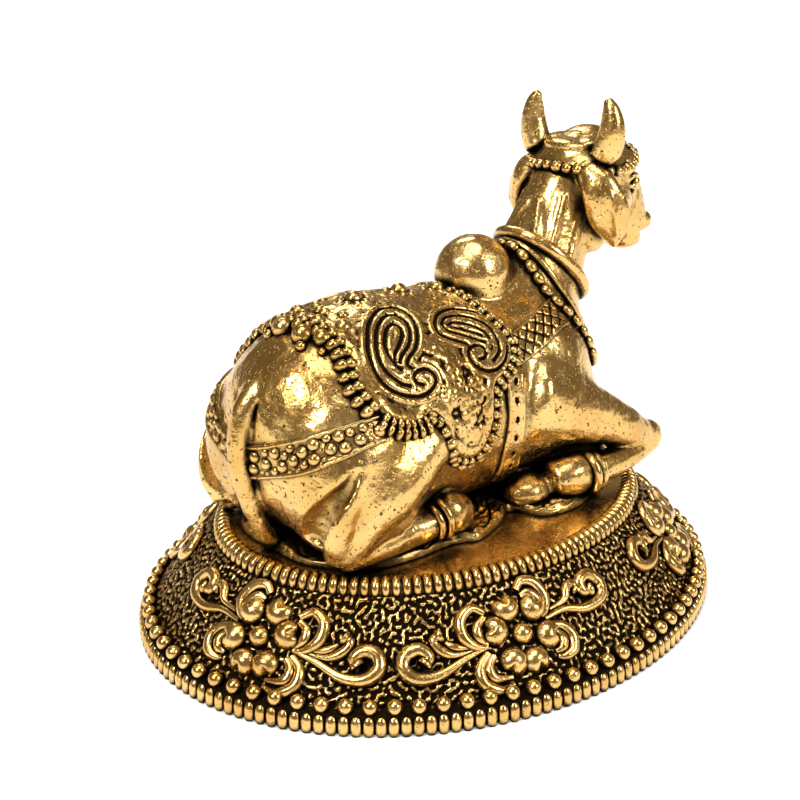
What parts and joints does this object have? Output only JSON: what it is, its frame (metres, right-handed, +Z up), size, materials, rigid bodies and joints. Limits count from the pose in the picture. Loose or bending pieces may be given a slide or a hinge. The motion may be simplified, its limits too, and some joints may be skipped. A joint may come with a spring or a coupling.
{
  "type": "nandi bull figure",
  "caption": "Small cast metal figure of a resting sacred bull with saddlecloth and bead strings, on an oval plinth with a fluted foot, a row of pearls, scrolls and flowers.",
  "frame": {"origin": "middle of the plinth's flat underside", "axes": "+Z up, +Y towards the bull's tail along the plinth's long side, so the bull faces -Y"},
  "size_m": [0.0624, 0.075, 0.0575],
  "materials": {
    "plinth_brass": "antique gold over dark patina",
    "bull_brass": "antique gold over dark patina"
  },
  "bodies": {
    "root": {"oval_base": "plinth_brass", "nandi_bull": "bull_brass"}
  },
  "joints": []
}
